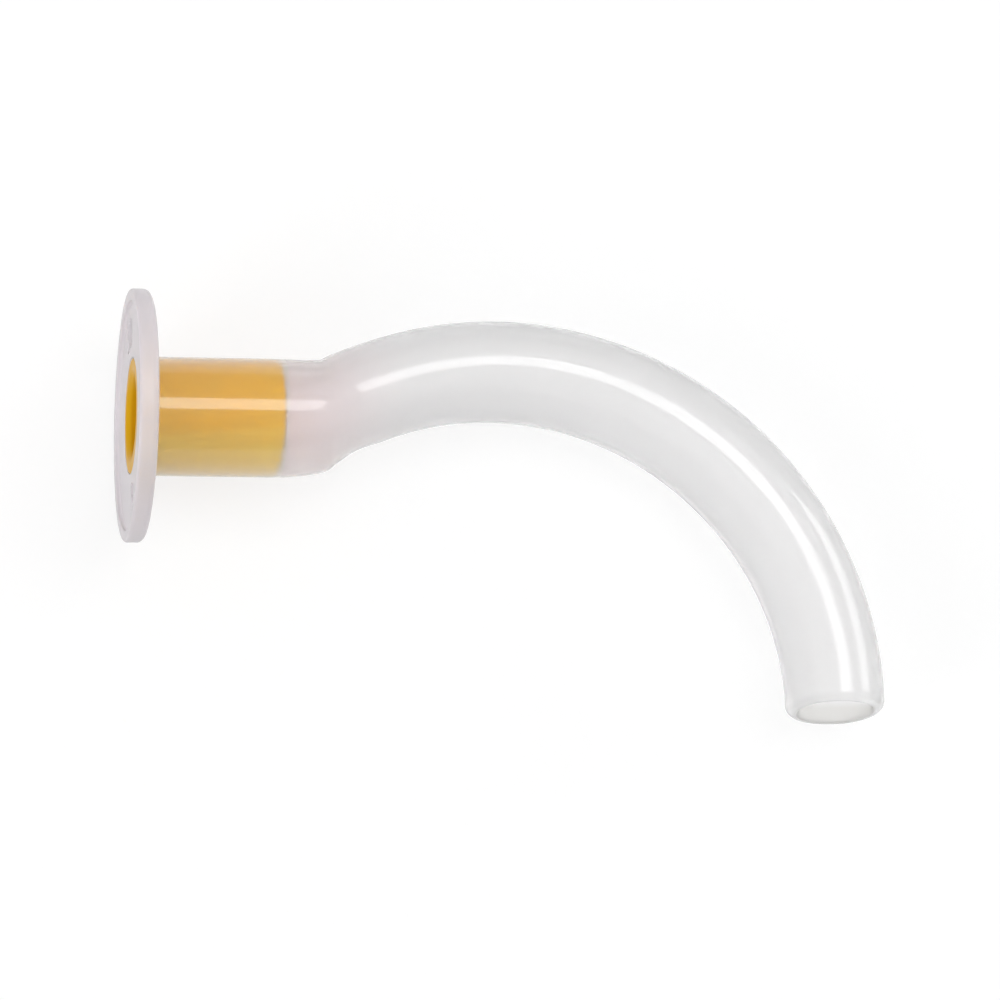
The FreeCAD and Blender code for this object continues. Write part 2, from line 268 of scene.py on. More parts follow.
class OvalLoft:
    """Geometry Nodes tree that skins a closed row of oval sections.

    LIMITS holds the value that a face has to pass to be given a stretch's finish. A face between two
    sections has the middle of their values, so each limit says which side such a face goes with.
    FULLNESS is the radius of an oval's ends as a share of half its height.
    """

    VALUES = {
        "rise": "FLOAT_VECTOR",
        "across": "FLOAT_VECTOR",
        "half_height": "FLOAT",
        "half_width": "FLOAT",
        "stretch": "FLOAT",
    }
    LIMITS = {Stretch.LUMEN: -9.0, Stretch.TUBE: -1.6, Stretch.BITE: 0.4, Stretch.FLANGE: 1.5}
    FULLNESS = 0.875
    MERGE_DISTANCE = 1e-6

    def __init__(self) -> None:
        """Build the tree once, with named inputs."""
        self.tree = bpy.data.node_groups.new("skin through ovals", "GeometryNodeTree")
        self.tree.is_modifier = True
        make = self.tree.interface.new_socket
        make("Stations", in_out="INPUT", socket_type="NodeSocketGeometry")
        self.around = make("Points Around", in_out="INPUT", socket_type="NodeSocketInt").identifier
        self.fullness = make("End Fullness", in_out="INPUT", socket_type="NodeSocketFloat").identifier
        self.finishes = {
            stretch: make(
                stretch.name.title() + " Finish", in_out="INPUT", socket_type="NodeSocketMaterial"
            ).identifier
            for stretch in Stretch
        }
        make("Skin", in_out="OUTPUT", socket_type="NodeSocketGeometry")
        self.wiring = Wiring(self.tree)
        self.given = self.wiring.node("NodeGroupInput").outputs
        self._wire()

    def _sampled(self, name: str, kind: str, ring: Socket) -> Socket:
        """Read one value of the station that a ring stands on.

        Args:
            name: Attribute's name, or "position".
            kind: FLOAT or FLOAT_VECTOR.
            ring: Socket with the station's number.

        Returns:
            Socket with the value.
        """
        read = self.wiring.node("GeometryNodeInputNamedAttribute", {"Name": name}, data_type=kind)
        feeds = {"Geometry": self.given["Stations"], "Value": read.outputs["Attribute"], "Index": ring}
        sample = self.wiring.node("GeometryNodeSampleIndex", feeds, data_type=kind, domain="POINT")
        return sample.outputs["Value"]

    def _scaled(self, vector: Socket, size: Socket) -> Socket:
        """Multiply a vector by a number."""
        feeds = {0: vector, "Scale": size}
        return self.wiring.node("ShaderNodeVectorMath", feeds, operation="SCALE").outputs[0]

    def _sum(self, first: Socket, second: Socket) -> Socket:
        """Add two vectors."""
        feeds = {0: first, 1: second}
        return self.wiring.node("ShaderNodeVectorMath", feeds, operation="ADD").outputs[0]

    def _oval(self, ring: Socket, angle: Socket) -> tuple[Socket, Socket]:
        """Work out an oval of two end arcs and two flatter side arcs.

        Args:
            ring: Socket with the station's number.
            angle: Direction of the skin's normal, in radians, from the section's short way.

        Returns:
            Sockets with the point's place along the short way and along the long way.
        """
        calc = self.wiring.calc
        plus = self.wiring.plus
        minus = self.wiring.minus
        times = self.wiring.times
        high = self._sampled("half_height", "FLOAT", ring)
        wide = self._sampled("half_width", "FLOAT", ring)
        short = calc("COSINE", angle)
        long = calc("SINE", angle)
        end_radius = times(high, self.given["End Fullness"])
        end_centre = minus(wide, end_radius)
        flat = minus(high, end_radius)
        squares = minus(times(end_centre, end_centre), times(flat, flat))
        side_centre = calc("DIVIDE", squares, times(flat, 2.0))
        side_radius = plus(high, side_centre)
        past_side = times(calc("ABSOLUTE", long), side_centre)
        on_end = calc("GREATER_THAN", past_side, times(calc("ABSOLUTE", short), end_centre))
        on_side = minus(1.0, on_end)
        radius = plus(times(end_radius, on_end), times(side_radius, on_side))
        pull = times(times(calc("SIGN", short), side_centre), on_side)
        push = times(times(calc("SIGN", long), end_centre), on_end)
        return minus(times(short, radius), pull), plus(times(long, radius), push)

    def _place_points(self, index: Socket, row: Socket) -> tuple[Socket, Socket]:
        """Work out which station each of the grid's points stands on, and where it goes.

        Args:
            index: Socket with the point's number.
            row: Socket with the number of points in a ring, its closing point included.

        Returns:
            Sockets with the station's number and with the point's place.
        """
        wiring = self.wiring
        ring = wiring.calc("FLOOR", wiring.calc("DIVIDE", index, row))
        step = wiring.minus(index, wiring.times(ring, row))
        share = wiring.calc("DIVIDE", step, self.given["Points Around"])
        short, long = self._oval(ring, wiring.times(share, 2 * math.pi))
        centre = self._sampled("position", "FLOAT_VECTOR", ring)
        rise = self._scaled(self._sampled("rise", "FLOAT_VECTOR", ring), short)
        across = self._scaled(self._sampled("across", "FLOAT_VECTOR", ring), long)
        return ring, self._sum(centre, self._sum(rise, across))

    def _wire(self) -> None:
        """Lay a grid of rings over the stations, close it both ways and paint its stretches."""
        node = self.wiring.node
        stations = self.given["Stations"]
        size = node("GeometryNodeAttributeDomainSize", {"Geometry": stations}, component="MESH")
        row = self.wiring.plus(self.given["Points Around"], 1.0)
        feeds = {"Vertices X": size.outputs["Point Count"], "Vertices Y": row}
        skin = node("GeometryNodeMeshGrid", feeds).outputs["Mesh"]
        ring, place = self._place_points(node("GeometryNodeInputIndex").outputs[0], row)
        feeds = {"Geometry": skin, "Name": "stretch", "Value": self._sampled("stretch", "FLOAT", ring)}
        marked = node("GeometryNodeStoreNamedAttribute", feeds, data_type="FLOAT", domain="POINT")
        skin = marked.outputs["Geometry"]
        for kind, feeds in (
            ("GeometryNodeSetPosition", {"Position": place}),
            ("GeometryNodeMergeByDistance", {"Distance": self.MERGE_DISTANCE}),
            ("GeometryNodeSetShadeSmooth", {}),
            ("GeometryNodeRealizeInstances", {}),
        ):
            skin = node(kind, {"Geometry": skin, **feeds}).outputs["Geometry"]
        mark = node("GeometryNodeInputNamedAttribute", {"Name": "stretch"}, data_type="FLOAT")
        for stretch, limit in self.LIMITS.items():
            chosen = self.wiring.calc("GREATER_THAN", mark.outputs["Attribute"], limit)
            finish = self.given[stretch.name.title() + " Finish"]
            feeds = {"Geometry": skin, "Selection": chosen, "Material": finish}
            skin = node("GeometryNodeSetMaterial", feeds).outputs["Geometry"]
        node("NodeGroupOutput", {"Skin": skin})

    def skin(
        self,
        name: str,
        stations: list[Station],
        place: RestPlace,
        around: int,
        finishes: dict[Stretch, Material],
    ) -> bpy.types.Object:
        """Skin one closed row of stations and keep the result as a plain mesh.

        Args:
            name: Name of the piece.
            stations: Sections in order; the last stands where the first does.
            place: Where the airway lies.
            around: Points around each section.
            finishes: Material of each stretch that the stations belong to.

        Returns:
            The piece, with a closed mesh whose faces point outwards.
        """
        row = bpy.data.meshes.new(name + "-stations")
        links = [(i, i + 1) for i in range(len(stations) - 1)]
        row.from_pydata([place.point(s.centre) for s in stations], links, [])
        for label, kind in self.VALUES.items():
            row.attributes.new(label, kind, "POINT")
        values = {label: row.attributes[label].data for label in self.VALUES}
        sideways = place.direction(Vector((0.0, 0.0, 1.0)))
        for i, station in enumerate(stations):
            lean = math.radians(station.lean)
            up = Vector((math.sin(lean), math.cos(lean), 0.0))
            values["rise"][i].vector = place.direction(up)
            values["across"][i].vector = sideways
            values["half_height"][i].value = station.half_height * METRES
            values["half_width"][i].value = station.half_width * METRES
            values["stretch"][i].value = station.stretch.value

        carrier = add_object(name + "-carrier", row)
        modifier = carrier.modifiers.new("skin", "NODES")
        modifier.node_group = self.tree
        modifier[self.around] = around
        modifier[self.fullness] = self.FULLNESS
        for stretch, finish in finishes.items():
            modifier[self.finishes[stretch]] = finish
        mesh = bake(carrier, name)
        self._point_outwards(mesh)
        piece = add_object(name, mesh)
        LOG.info("%s: %d sections, %d faces", name, len(stations), len(mesh.polygons))
        return piece

    @staticmethod
    def _point_outwards(mesh: bpy.types.Mesh) -> None:
        """Turn a closed mesh right side out, and drop the marks of its stretches.

        Args:
            mesh: Mesh of a skinned piece.
        """
        work = bmesh.new()
        work.from_mesh(mesh)
        if work.calc_volume(signed=True) < 0:
            bmesh.ops.reverse_faces(work, faces=work.faces)
        work.to_mesh(mesh)
        work.free()
        mesh.attributes.remove(mesh.attributes["stretch"])


@dataclass(frozen=True)
class Grain:
    """Faint unevenness of a moulded surface.

    Attributes:
        ripples: Ripples per metre.
        least: Roughness where the surface is smoothest.
        most: Roughness where it is dullest.
        lift: Height of the ripples, in metres.
    """

    ripples: float
    least: float
    most: float
    lift: float = 0.00001


class MouldedSkin:
    """Shader group for the faint unevenness of a moulded surface, shared by both plastics."""

    def __init__(self) -> None:
        """Build the group once."""
        self.tree = bpy.data.node_groups.new("moulded skin", "ShaderNodeTree")
        make = self.tree.interface.new_socket
        make("Place", in_out="INPUT", socket_type="NodeSocketVector")
        for name in ("Ripple Scale", "Least Roughness", "Most Roughness"):
            make(name, in_out="INPUT", socket_type="NodeSocketFloat")
        for name in ("Height", "Roughness"):
            make(name, in_out="OUTPUT", socket_type="NodeSocketFloat")
        wiring = Wiring(self.tree)
        given = wiring.node("NodeGroupInput").outputs
        feeds = {"Vector": given["Place"], "Scale": given["Ripple Scale"], "Detail": 2.0}
        ripple = wiring.node("ShaderNodeTexNoise", feeds).outputs["Fac"]
        feeds = {"Value": ripple, "To Min": given["Least Roughness"], "To Max": given["Most Roughness"]}
        spread = wiring.node("ShaderNodeMapRange", feeds).outputs["Result"]
        wiring.node("NodeGroupOutput", {"Height": ripple, "Roughness": spread})

    def place_in(self, material: Material, grain: Grain) -> None:
        """Put the group in a material, feeding its roughness and its normal.

        Args:
            material: Material with a Principled BSDF.
            grain: The surface's unevenness.
        """
        wiring = Wiring(material.node_tree)
        feeds = {
            "Place": wiring.node("ShaderNodeTexCoord").outputs["Object"],
            "Ripple Scale": grain.ripples,
            "Least Roughness": grain.least,
            "Most Roughness": grain.most,
        }
        group = wiring.node("ShaderNodeGroup", feeds, node_tree=self.tree)
        feeds = {"Height": group.outputs["Height"], "Distance": grain.lift, "Strength": 1.0}
        bump = wiring.node("ShaderNodeBump", feeds)
        feeds = {"Roughness": group.outputs["Roughness"], "Normal": bump.outputs["Normal"]}
        wiring.feed_shader(feeds)


def start_material(name: str, settings: dict[str, object]) -> tuple[Material, Wiring]:
    """Make a material and set its shader's inputs.

    Args:
        name: Name of the material.
        settings: Plain values for inputs of its Principled BSDF.

    Returns:
        The material and its wiring.
    """
    material = bpy.data.materials.new(name)
    material.use_nodes = True
    wiring = Wiring(material.node_tree)
    wiring.feed_shader(settings)
    return material, wiring


@dataclass(frozen=True)
class TranslucentPlastic:
    """Milky soft plastic, whose colour may change past the flange, and which may carry painted shade
    inside the tip's mouth.

    Attributes:
        flange_end: X in the row frame up to which the flange's colour holds, in metres.
        curve_start: X from which the curve's colour holds.
        mouth_shade_start: Y below which the painted shade inside the mouth sets in.
        mouth_shade_end: Y below which that painted shade holds in full.
        clearness: Share of the light that goes through and isn't scattered back.
        bending: Refractive index.
        gloss: Strength of the smooth top surface that mirrors the lamps.
        haze: Strength of the soft veil at grazing angles.
    """

    name: str
    curve_colour: Colour = (0.972, 0.969, 0.97)
    flange_colour: Colour = (0.945, 0.89, 0.9)
    flange_end: float = -0.024
    curve_start: float = -0.010
    mouth_shade_colour: Colour = (0.972, 0.969, 0.97)
    mouth_shade_start: float = -0.0233
    mouth_shade_end: float = -0.0245
    clearness: float = 0.97
    bending: float = 1.4
    gloss: float = 1.0
    gloss_roughness: float = 0.1
    gloss_bending: float = 1.6
    haze: float = 0.2
    haze_roughness: float = 0.4
    grain: Grain = Grain(ripples=180.0, least=0.54, most=0.62)

    def make(self, skin: MouldedSkin) -> Material:
        """Make the material.

        Args:
            skin: Shared shader group for the moulded surface.

        Returns:
            The finished material.
        """
        settings = {
            "IOR": self.bending,
            "Transmission Weight": self.clearness,
            "Coat Weight": self.gloss,
            "Coat Roughness": self.gloss_roughness,
            "Coat IOR": self.gloss_bending,
            "Sheen Weight": self.haze,
            "Sheen Roughness": self.haze_roughness,
        }
        material, wiring = start_material(self.name, settings)
        skin.place_in(material, self.grain)
        spot = wiring.node("ShaderNodeTexCoord").outputs["Object"]
        parts = wiring.node("ShaderNodeSeparateXYZ", {0: spot}).outputs
        share = wiring.fade(parts["X"], self.flange_end, self.curve_start)
        along = wiring.blend(share, self.flange_colour, self.curve_colour)
        # Painted shade: towards the tip the colour turns to the darker colour of the mouth.
        mouth_shade_share = wiring.fade(parts["Y"], self.mouth_shade_start, self.mouth_shade_end)
        colour = wiring.blend(mouth_shade_share, along, self.mouth_shade_colour)
        wiring.feed_shader({"Base Color": colour})
        return material


MOULDING_PLASTICS = {
    # Painted shade: the lumen is darker just inside the tip's mouth.
    Stretch.LUMEN: TranslucentPlastic(
        name="translucent lumen", gloss=0.0, clearness=0.78, mouth_shade_colour=(0.79, 0.78, 0.755)
    ),
    Stretch.TUBE: TranslucentPlastic(name="translucent tube", clearness=0.94),
    Stretch.BITE: TranslucentPlastic(
        name="translucent bite section",
        curve_colour=(0.955, 0.955, 0.92),
        flange_colour=(0.955, 0.955, 0.92),
        gloss_bending=1.7,
        haze=0.45,
    ),
    Stretch.FLANGE: TranslucentPlastic(
        name="translucent flange",
        curve_colour=(0.985, 0.94, 0.975),
        flange_colour=(0.985, 0.94, 0.975),
        clearness=0.38,
        gloss=0.5,
        gloss_roughness=0.25,
    ),
}


@dataclass(frozen=True)
class ColouredPlastic:
    """Stiff opaque plastic of the sleeve, paler in streaks, with a painted sheen that makes its lower
    side paler.

    Attributes:
        streaks_per_metre: How fine the streaks are along X, Y and Z of the row frame.
        sheen_start: Y in the row frame where the painted sheen starts to make the lower side pale, in
            metres.
        sheen_end: Y where the painted sheen is strongest and the lower side palest.
        collar_start: X up to which the collar keeps its full colour.
        collar_end: X from which the streaks and the painted sheen have their full strength.
        faint: Sum of streak and painted sheen below which nothing is pale.
        full: The sum at which the colour is wholly the streak and sheen colour.
    """

    name: str = "coloured sleeve"
    colour: Colour = (0.86, 0.465, 0.004)
    streak_and_sheen_colour: Colour = (0.83, 0.565, 0.085)
    streaks_per_metre: tuple[float, float, float] = (110.0, 420.0, 420.0)
    sheen_start: float = 0.0105
    sheen_end: float = 0.006
    collar_start: float = -0.0445
    collar_end: float = -0.0425
    faint: float = 0.35
    full: float = 1.45
    shine: float = 0.15
    grain: Grain = Grain(ripples=400.0, least=0.36, most=0.48)

    def make(self, skin: MouldedSkin) -> Material:
        """Make the material.

        Args:
            skin: Shared shader group for the moulded surface.

        Returns:
            The finished material.
        """
        material, wiring = start_material(self.name, {"Specular IOR Level": self.shine})
        skin.place_in(material, self.grain)
        spot = wiring.node("ShaderNodeTexCoord").outputs["Object"]
        feeds = {0: spot, 1: self.streaks_per_metre}
        drawn_out = wiring.node("ShaderNodeVectorMath", feeds, operation="MULTIPLY").outputs["Vector"]
        noise = wiring.node("ShaderNodeTexNoise", {"Vector": drawn_out, "Scale": 1.0, "Detail": 2.0})
        parts = wiring.node("ShaderNodeSeparateXYZ", {0: spot}).outputs
        # Painted sheen: the lower side of the sleeve turns paler, standing in for light caught at
        # grazing angles.
        painted_sheen = wiring.fade(parts["Y"], self.sheen_start, self.sheen_end)
        behind = wiring.fade(parts["X"], self.collar_start, self.collar_end)
        total = wiring.plus(noise.outputs["Fac"], painted_sheen)
        share = wiring.fade(total, self.faint, self.full, behind)
        colour = wiring.blend(share, self.colour, self.streak_and_sheen_colour)
        wiring.feed_shader({"Base Color": colour})
        return material


@dataclass(frozen=True)
class ShoulderStep:
    """A section part of the way down the shoulder, as shares of the way to the start of the curve."""

    forward: float
    rise: float
    lean: float
    thinning: float


SHOULDER = (
    ShoulderStep(forward=0.15, rise=0.07, lean=0.32, thinning=0.25),
    ShoulderStep(forward=0.26, rise=0.25, lean=0.5, thinning=0.61),
    ShoulderStep(forward=0.364, rise=0.414, lean=0.72, thinning=0.92),
    ShoulderStep(forward=0.68, rise=0.728, lean=0.935, thinning=0.98),
)


@dataclass
class Moulding:
    """The translucent moulding: flange, bite section, shoulder, curved tube and lumen.

    Attributes:
        flange_extra: How much half the flange's width is more than half its height.
        throat_rise: How far the section at throat_length stands off the bite section's axis.
        bend_forward: Place of the bend's centre along that axis; bend_drop is how far it is below.
        bend_start_angle: Where the even curve starts, in degrees past its crest.
        middle_angle: Where the tube is thickest, in the same degrees.
        edge_hold: How close a section stands to a sharp edge, to keep its shading crisp.
        lead_in: Distance before the shoulder of the section that sets its first slope.
        lead_out: Degrees past the curve's start of the section that sets its last slope.
        bore_lead_in: What lead_in is, for the lumen.
        bore_straight: Straight stretch of the lumen before its shoulder.
        dish_shares: Where sections stand on the dish's floor, as shares of the way across it.
        lip_shares: The same for the flange's lip side.
        bite_shares: The same for the straight part's outside.
        seat_shares: The same for the sleeve's seat.
    """

    flange_half: float = 15.25
    flange_extra: float = 3.5
    flange_thickness: float = 2.35
    rim_width: float = 1.5
    dish_depth: float = 0.55
    dish_round: float = 0.35
    front_round: float = 0.4
    lip_round: float = 0.85
    neck_round: float = 0.6
    bite_half: float = 7.175
    bite_length: float = 17.6
    throat_length: float = 22.6
    throat_half: float = 6.975
    throat_rise: float = 0.15
    tube_half_start: float = 6.08
    tube_half_crest: float = 6.18
    tube_half_middle: float = 6.24
    tube_half_tip: float = 6.03
    wall: float = 1.6
    bend_radius: float = 41.5
    bend_forward: float = 45.75
    bend_drop: float = 35.05
    tip_angle: float = 92.5
    bend_start_angle: float = -17.0
    middle_angle: float = 45.0
    tip_round: float = 1.2
    mouth_round: float = 0.37
    seat_half: float = 6.025
    seat_end: float = 18.8
    collar_seat_half: float = 7.025
    collar_seat_end: float = 1.55
    bore_half: float = 4.875
    around: int = 176
    edge_steps: int = 6
    neck_steps: int = 7
    lip_steps: int = 10
    shoulder_steps: int = 7
    bend_steps: int = 96
    edge_hold: float = 0.03
    rim_hold: float = 0.06
    lead_in: float = 4.0
    lead_out: float = 6.0
    bore_lead_in: float = 2.0
    bore_straight: float = 0.5
    dish_shares: tuple[float, ...] = (0.0, 0.03, 0.25, 0.6, 1.0)
    lip_shares: tuple[float, ...] = (0.02, 0.3, 0.7, 0.97, 1.0)
    bite_shares: tuple[float, ...] = (0.01, 0.25, 0.5, 0.75)
    seat_shares: tuple[float, ...] = (0.0, 0.02, 0.3, 0.7, 0.98, 1.0)

    def on_bend(self, angle: float, half_height: float) -> Station:
        """Stand a section on the curve's centreline.

        Args:
            angle: Degrees past the crest of the curve.
            half_height: Half the section in the plane of the curve.

        Returns:
            The station.
        """
        turn = math.radians(angle)
        forward = self.bend_forward + self.bend_radius * math.sin(turn)
        up = self.bend_radius * math.cos(turn) - self.bend_drop
        return Station(Vector((forward, up, 0.0)), angle, half_height, half_height + OVAL_EXTRA)

    def curve(self, start: float, end: float, thinner: float) -> list[Station]:
        """Run along the even curve between two angles, without the sections at the angles.

        Args:
            start: First angle, in degrees past the crest.
            end: Last angle.
            thinner: How much smaller than the outside the sections are.

        Returns:
            Stations in order.
        """
        steps = range(1, self.bend_steps)
        angles = [start + (end - start) * step / self.bend_steps for step in steps]
        return [self.on_bend(angle, self.tube_half(angle) - thinner) for angle in angles]

    def degrees_over(self, length: float) -> float:
        """Give how far the curve turns over a length."""
        return math.degrees(length / self.bend_radius)

    def tube_half(self, angle: float) -> float:
        """Work out how thick the curved tube is.

        Args:
            angle: Degrees past the crest of the curve.

        Returns:
            Half the height of the tube's outside there.
        """
        knots = (
            (self.bend_start_angle, self.tube_half_start),
            (0.0, self.tube_half_crest),
            (self.middle_angle, self.tube_half_middle),
            (self.tip_angle, self.tube_half_tip),
        )
        for (before, low), (after, high) in zip(knots, knots[1:]):
            if angle <= after:
                share = max(0.0, (angle - before) / (after - before))
                return low + (high - low) * share
        return self.tube_half_tip

    def flange(self) -> list[Station]:
        """Run over the dished face, round the flange's edge and down to its lip side.

        Returns:
            Stations in order.
        """
        extra = self.flange_extra
        start = self.collar_seat_half
        dish_half = self.flange_half - self.rim_width
        floor_half = dish_half - self.dish_round
        rows = []
        for share in self.dish_shares:
            half = start + (floor_half - start) * share
            rows.append(straight(self.dish_depth, half, OVAL_EXTRA + (extra - OVAL_EXTRA) * share))
        for forward, side in arc_steps(self.dish_round, self.edge_steps, Bend.INWARDS)[1:]:
            rows.append(straight(self.dish_depth - side, floor_half + forward, extra))
        for forward, side in arc_steps(self.dish_round, self.edge_steps, Bend.OUTWARDS):
            along = max(0.0, self.dish_depth - self.dish_round) * (1 - side / self.dish_round)
            rows.append(straight(along, dish_half + forward, extra))
        front_half = self.flange_half - self.front_round
        rows.append(straight(0.0, front_half - self.rim_hold, extra + self.rim_hold))
        for forward, side in arc_steps(self.front_round, self.edge_steps, Bend.INWARDS):
            rows.append(straight(side, front_half + forward, extra))
        lip = self.flange_thickness - self.lip_round
        for forward, side in arc_steps(self.lip_round, self.lip_steps, Bend.INWARDS):
            rows.append(straight(lip + forward, self.flange_half - side, extra))
        return rows

    def bite_section(self) -> list[Station]:
        """Run along the flange's lip side and the straight part.

        Returns:
            Stations in order.
        """
        rows = []
        lip = self.flange_thickness
        neck = self.bite_half + self.neck_round
        outer = self.flange_half - self.lip_round
        for share in self.lip_shares:
            extra = self.flange_extra + (OVAL_EXTRA - self.flange_extra) * share
            rows.append(straight(lip, outer + (neck - outer) * share, extra))
        for forward, side in arc_steps(self.neck_round, self.neck_steps, Bend.INWARDS)[1:]:
            rows.append(straight(lip + side, neck - forward))
        first = lip + self.neck_round
        span = self.bite_length - first
        for share in self.bite_shares:
            rows.append(straight(first + span * share, self.bite_half))
        return rows

    def shoulder(self, knots: list[Station], throat_half: float, thinner: float) -> list[Station]:
        """Give the sections that carry the straight part over into the curve.

        Args:
            knots: Two sections of the straight part that lead in.
            throat_half: Half height where the shoulder begins.
            thinner: How much smaller than the outside the curve's sections are.

        Returns:
            Stations from the second section to the start of the even curve.
        """
        middle = Vector((self.throat_length, self.throat_rise, 0.0))
        throat = Station(middle, 0.0, throat_half, throat_half + OVAL_EXTRA)
        end = self.on_bend(self.bend_start_angle, self.tube_half_start - thinner)
        after_angle = self.bend_start_angle + self.lead_out
        after = self.on_bend(after_angle, self.tube_half(after_angle) - thinner)
        row = knots + [throat]
        way = end.centre - throat.centre
        for step in SHOULDER:
            centre = throat.centre + Vector((way.x * step.forward, way.y * step.rise, 0.0))
            half = throat_half + (end.half_height - throat_half) * step.thinning
            row.append(Station(centre, end.lean * step.lean, half, half + OVAL_EXTRA))
        row += [end, after]
        made = []
        for index in range(1, len(row) - 2):
            made += smooth_span(row[index - 1 : index + 3], self.shoulder_steps)
        made.append(end)
        return made

    def tip_outside(self) -> list[Station]:
        """Round the tip's outer edge.

        Returns:
            Stations from the tube's side to the tip's face.
        """
        start = self.tip_angle - self.degrees_over(self.tip_round)
        rows = []
        for forward, side in arc_steps(self.tip_round, self.lip_steps, Bend.INWARDS):
            angle = start + self.degrees_over(forward)
            rows.append(self.on_bend(angle, self.tube_half_tip - side))
        return rows

    def tip_mouth(self) -> list[Station]:
        """Run over the tip's face and round its inner edge.

        Returns:
            Stations from the face into the lumen.
        """
        inner = self.tube_half_tip - self.wall
        rows = []
        for forward, side in arc_steps(self.mouth_round, self.edge_steps, Bend.INWARDS):
            angle = self.tip_angle - self.degrees_over(side)
            rows.append(self.on_bend(angle, inner + self.mouth_round - forward))
        return rows

    def outside(self) -> list[Station]:
        """Run along the whole outside.

        Returns:
            Stations from the collar's seat to the tip's face.
        """
        end = self.bite_length
        knots = [straight(end - self.lead_in, self.bite_half), straight(end, self.bite_half)]
        rows = self.flange() + self.bite_section() + self.shoulder(knots, self.throat_half, 0.0)
        last = self.tip_angle - self.degrees_over(self.tip_round)
        return rows + self.curve(self.bend_start_angle, last, 0.0) + self.tip_outside()

    def inside(self) -> list[Station]:
        """Run along the lumen and the sleeve's seat.

        Returns:
            Stations from the tip's face back to the collar's seat.
        """
        last = self.tip_angle - self.degrees_over(self.mouth_round)
        rows = self.tip_mouth() + self.curve(last, self.bend_start_angle, self.wall)
        end = self.seat_end
        bore = self.bore_half
        knots = [straight(end - self.bore_lead_in, bore), straight(end + self.bore_straight, bore)]
        rows += reversed(self.shoulder(knots, bore, self.wall))
        rows += [straight(end + self.edge_hold, bore), straight(end, bore)]
        span = end - self.collar_seat_end
        for share in self.seat_shares:
            rows.append(straight(end - span * share, self.seat_half))
        back = self.collar_seat_end
        front = self.dish_depth
        for along in (back, back - self.edge_hold, front + self.edge_hold, front):
            rows.append(straight(along, self.collar_seat_half))
        return rows

    def stations(self) -> list[Station]:
        """Put the outside and the inside together, and mark each section with its stretch.

        Returns:
            The closed row of stations.
        """
        rows = []
        for row in self.outside():
            along = row.centre.x
            if along <= self.flange_thickness:
                stretch = Stretch.FLANGE
            elif along <= self.seat_end:
                stretch = Stretch.BITE
            else:
                stretch = Stretch.TUBE
            rows.append(replace(row, stretch=stretch))
        for row in self.inside():
            stretch = Stretch.LUMEN if row.centre.x > self.seat_end else Stretch.BITE
            rows.append(replace(row, stretch=stretch))
        return rows

    def build(self, loft: OvalLoft, place: RestPlace, finishes: dict[Stretch, Material]) -> None:
        """Skin the moulding and stand it for its node.

        Args:
            loft: Tree that skins ovals.
            place: Where the airway lies.
            finishes: Plastic of each stretch.
        """
        piece = loft.skin("moulding", self.stations(), place, self.around, finishes)
        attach(piece, "root")
        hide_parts("airway_body")


def smooth_span(knots: list[Station], count: int) -> list[Station]:
    """Run a smooth curve from the second of four stations to just before the third.

    Args:
        knots: Four stations in order.
        count: Number of stations to give.

    Returns:
        Stations whose centres, leans and sizes follow a cubic through the knots.
    """
    rows = [knot.numbers() for knot in knots]
    gaps = [(knots[i + 1].centre - knots[i].centre).length for i in range(3)]
    slopes = []
    for i in (1, 2):
        before = gaps[i - 1]
        after = gaps[i]
        slopes.append(
            [
                ((b - a) / before * after + (c - b) / after * before) / (before + after)
                for a, b, c in zip(rows[i - 1], rows[i], rows[i + 1])
            ]
        )
    made = []
    gap = gaps[1]
    for step in range(count):
        share = step / count
        square = share**2
        cube = share**3
        start = 2 * cube - 3 * square + 1
        leave = cube - 2 * square + share
        finish = -2 * cube + 3 * square
        arrive = cube - square
        x, y, lean, high, wide = (
            start * a + leave * gap * m + finish * b + arrive * gap * n
            for a, b, m, n in zip(rows[1], rows[2], slopes[0], slopes[1])
        )
        made.append(Station(Vector((x, y, 0.0)), lean, high, wide))
    return made


@dataclass(frozen=True)
class SizeNumber:
    """A plain number raised from the floor of the flange's dish, for the airway's size.

    Attributes:
        height: Height of the figures, in millimetres.
        above_axis: How far their middle is above the bite section's axis.
        raised: How far they stand out of the dish.
        sunk: How far they reach into it.
        cap_share: Height of a figure as a share of the font's size.
        weld: Distance within which corners are joined, in metres.
    """

    name: str
    text: str
    height: float
    above_axis: float
    raised: float = 0.12
    sunk: float = 0.05
    cap_share: float = 0.69
    curve_steps: int = 6
    weld: float = 1e-7

    def build(self, place: RestPlace, moulding: Moulding, finish: Material) -> None:
        """Raise the number from the dish.

        Args:
            place: Where the airway lies.
            moulding: The moulding that carries it.
            finish: Plastic of the flange.
        """
        letters = bpy.data.curves.new(self.name, "FONT")
        letters.body = self.text
        letters.size = self.height / self.cap_share
        letters.align_x = "CENTER"
        letters.resolution_u = self.curve_steps
        letters.extrude = (self.raised + self.sunk) / 2
        mesh = bake(add_object(self.name + "-carrier", letters), self.name)
        middle = moulding.dish_depth - self.raised + letters.extrude
        foot = self.above_axis - self.height / 2
        for vertex in mesh.vertices:
            across, up, out = vertex.co
            vertex.co = place.point(Vector((middle - out, foot + up, across)))
        work = bmesh.new()
        work.from_mesh(mesh)
        bmesh.ops.remove_doubles(work, verts=work.verts, dist=self.weld)
        bmesh.ops.recalc_face_normals(work, faces=work.faces)
        work.to_mesh(mesh)
        work.free()
        mesh.materials.clear()
        mesh.materials.append(finish)
        piece = add_object(self.name, mesh)
        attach(piece, "root")
        LOG.info("%s: %d faces", self.name, len(mesh.polygons))


SIZE_NUMBERS = (
    SizeNumber("length-number", "90", height=3.6, above_axis=10.3),
    SizeNumber("size-number", "3", height=3.6, above_axis=-10.3),
)


